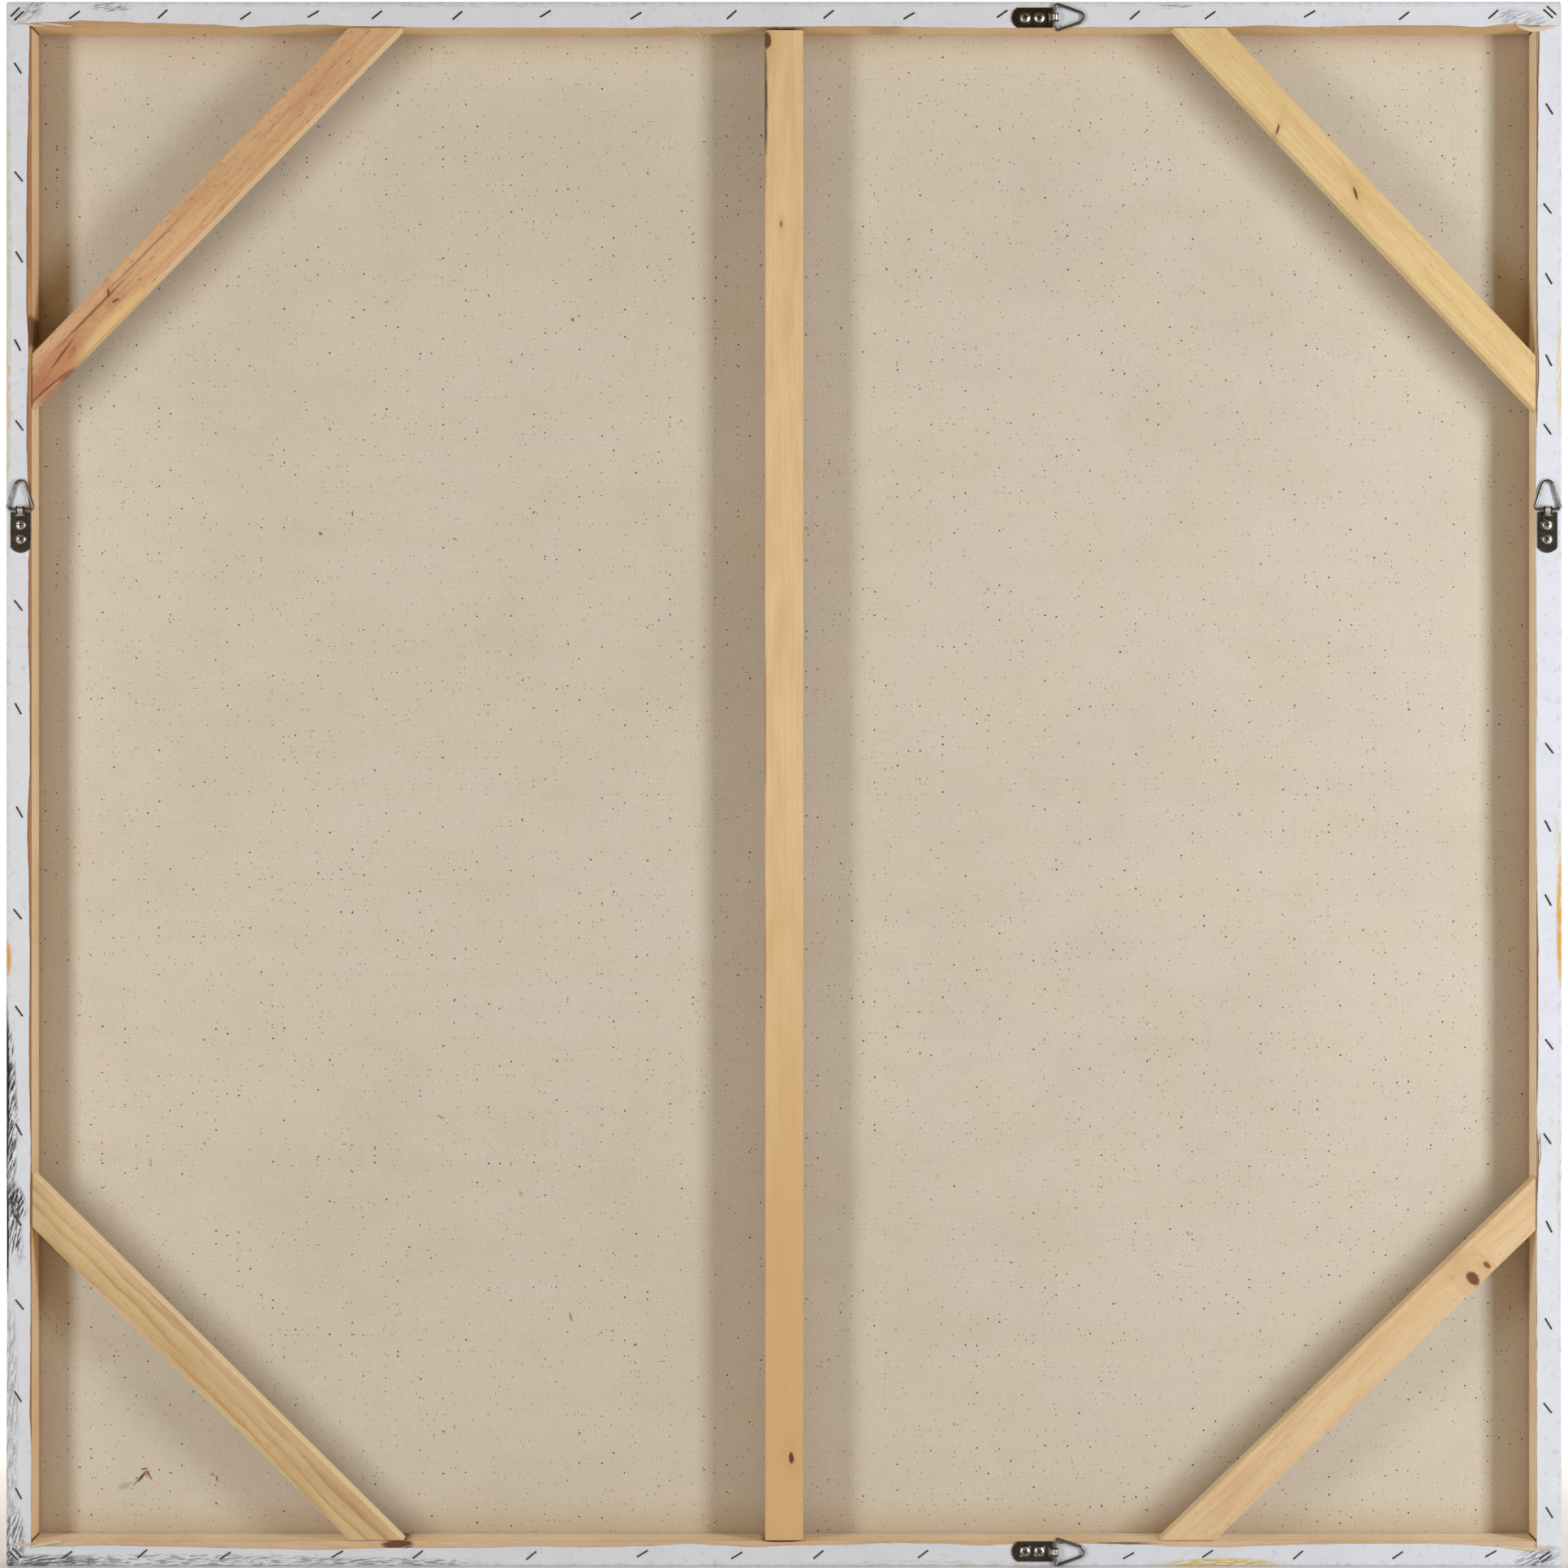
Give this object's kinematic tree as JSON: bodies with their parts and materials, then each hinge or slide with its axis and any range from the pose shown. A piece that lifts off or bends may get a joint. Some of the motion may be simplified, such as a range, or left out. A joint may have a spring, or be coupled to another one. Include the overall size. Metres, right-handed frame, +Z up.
{
  "type": "stretched canvas",
  "caption": "Square gallery-depth stretched canvas: cloth stapled round mitred pine bars with a centre brace, corner braces and swinging D-ring hangers.",
  "frame": {"origin": "middle of the bottom edge face, half way through the depth of the bars", "axes": "+Z up with the canvas standing on its bottom edge; +X to the right as the back is looked at; +Y out of the primed front, so the open back faces -Y"},
  "size_m": [1.219, 0.0444, 1.226],
  "materials": {
    "stretcher_pine": "planed, unfinished pine",
    "brace_pine": "planed, unfinished pine with knots",
    "canvas_cloth": "cotton canvas, raw on the back and white primed outside",
    "strap_steel": "dark zinc-plated stamped steel",
    "ring_steel": "bright nickel-plated wire",
    "screw_steel": "bright nickel-plated",
    "staple_steel": "galvanised flat wire",
    "nail_steel": "plain bright steel"
  },
  "bodies": {
    "frame": {"stretcher_bar_top": "stretcher_pine", "stretcher_bar_bottom": "stretcher_pine", "stretcher_bar_left": "stretcher_pine", "stretcher_bar_right": "stretcher_pine", "centre_brace": "brace_pine", "corner_brace_top_left": "brace_pine", "corner_brace_top_right": "brace_pine", "corner_brace_bottom_left": "brace_pine", "corner_brace_bottom_right": "brace_pine", "canvas": "canvas_cloth", "hanger_strap_left": "strap_steel", "hanger_strap_right": "strap_steel", "hanger_strap_top": "strap_steel", "hanger_strap_bottom": "strap_steel", "hanger_screws_left": "screw_steel", "hanger_screws_right": "screw_steel", "hanger_screws_top": "screw_steel", "hanger_screws_bottom": "screw_steel", "staples_top": "staple_steel", "staples_bottom": "staple_steel", "staples_left": "staple_steel", "staples_right": "staple_steel", "staples_corners": "staple_steel", "brace_nails": "nail_steel", "mitre_fasteners": "nail_steel"},
    "ring_left": {"d_ring_left": "ring_steel"},
    "ring_right": {"d_ring_right": "ring_steel"},
    "ring_top": {"d_ring_top": "ring_steel"},
    "ring_bottom": {"d_ring_bottom": "ring_steel"}
  },
  "joints": [
    {"name": "left_ring_swing", "type": "hinge", "parent": "frame", "child": "ring_left", "pos_m": [-0.5981, -0.0222, 0.8282], "axis": [1, 0, 0], "range_deg": [0, 170]},
    {"name": "right_ring_swing", "type": "hinge", "parent": "frame", "child": "ring_right", "pos_m": [0.5981, -0.0222, 0.8282], "axis": [1, 0, 0], "range_deg": [0, 170]},
    {"name": "top_ring_swing", "type": "hinge", "parent": "frame", "child": "ring_top", "pos_m": [0.2124, -0.0222, 1.2134], "axis": [0, 0, -1], "range_deg": [0, 170]},
    {"name": "bottom_ring_swing", "type": "hinge", "parent": "frame", "child": "ring_bottom", "pos_m": [0.2124, -0.0222, 0.0116], "axis": [0, 0, -1], "range_deg": [0, 170]}
  ]
}
